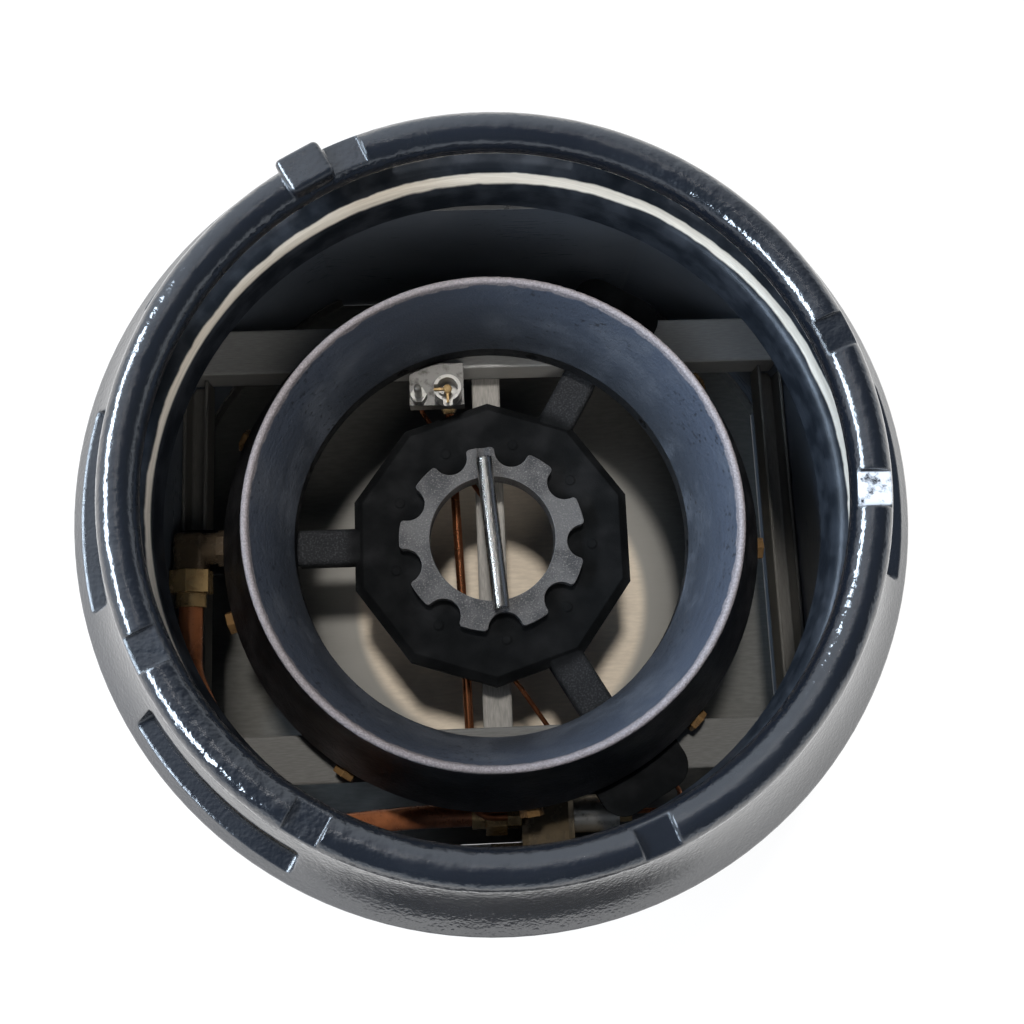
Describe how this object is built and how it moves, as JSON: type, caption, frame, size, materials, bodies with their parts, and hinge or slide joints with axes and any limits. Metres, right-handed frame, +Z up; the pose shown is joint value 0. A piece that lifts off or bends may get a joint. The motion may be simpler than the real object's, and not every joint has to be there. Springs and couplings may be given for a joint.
{
  "type": "wok burner",
  "caption": "Gas wok burner: lift-off enamelled wok ring on a stainless drum, cast burner with flame guard, star cap and pilot inside, gas tap with a push-and-turn knob in front.",
  "frame": {"origin": "on the burner's axis, on the plane the feet stand on", "axes": "+Z up along the burner's axis, the knob faces -Y, the gas elbow is on -X"},
  "size_m": [0.4639, 0.4639, 0.343],
  "materials": {
    "enamel": "glossy black enamel over cast iron",
    "soot_iron": "sooty rough cast iron",
    "guard_iron": "heat-greyed cast iron, worn light at the rim, black outside",
    "star_iron": "bare grey cast iron, granular",
    "collar_steel": "polished stainless, warmed by heat",
    "drum_steel": "brushed stainless sheet",
    "galvanised": "dull galvanised steel",
    "polished_steel": "polished steel",
    "zinc": "zinc-plated steel",
    "brass": "aged brass with bright facets",
    "copper": "drawn copper, heat-browned",
    "nickel": "bright nickel plate",
    "black_plastic": "black phenolic"
  },
  "bodies": {
    "root": {"drum": "drum_steel", "floor_pan": "drum_steel", "feet": "zinc", "foot_nuts": "zinc", "collar": "collar_steel", "back_rail": "galvanised", "front_rail": "galvanised", "left_channel": "galvanised", "right_channel": "galvanised", "centre_strip": "galvanised", "burner_body": "soot_iron", "gas_jets": "brass", "jet_plugs": "brass", "burner_bolts": "zinc", "gas_elbow": "brass", "pipe_nuts": "brass", "pipe_sleeves": "brass", "gas_pipe": "copper", "tap_body": "brass", "tap_bonnet": "zinc", "tap_screws": "zinc", "gas_inlet": "brass", "inlet_nut": "brass", "safety_magnet": "nickel", "lead_nut": "brass", "thermocouple": "nickel", "thermocouple_lead": "copper", "pilot_bracket": "nickel", "bracket_screws": "zinc", "pilot_burner": "brass", "pilot_hood": "nickel", "pilot_nuts": "brass", "pilot_tube": "copper"},
    "wok_ring": {"wok_ring": "enamel"},
    "flame_guard": {"flame_guard": "guard_iron"},
    "star_cap": {"star_cap": "star_iron", "lift_bar": "polished_steel"},
    "tap_rotor": {"tap_rotor": "brass", "tap_spring": "polished_steel"},
    "tap_knob": {"tap_spindle": "polished_steel", "knob": "black_plastic"}
  },
  "joints": [
    {"name": "wok_ring_lift", "type": "slide", "parent": "root", "child": "wok_ring", "axis": [0, 0, 1], "range_m": [0, 0.12]},
    {"name": "flame_guard_lift", "type": "slide", "parent": "root", "child": "flame_guard", "axis": [0, 0, 1], "range_m": [0, 0.12]},
    {"name": "star_cap_lift", "type": "slide", "parent": "root", "child": "star_cap", "axis": [0, 0, 1], "range_m": [0, 0.1]},
    {"name": "tap_turn", "type": "hinge", "parent": "root", "child": "tap_rotor", "pos_m": [0.03, -0.1762, 0.095], "axis": [0, -1, 0], "range_deg": [0, 180]},
    {"name": "knob_push", "type": "slide", "parent": "tap_rotor", "child": "tap_knob", "axis": [0, 1, 0], "range_m": [0, 0.004], "stiffness_N_per_m": 600, "springref_m": -0.006}
  ]
}
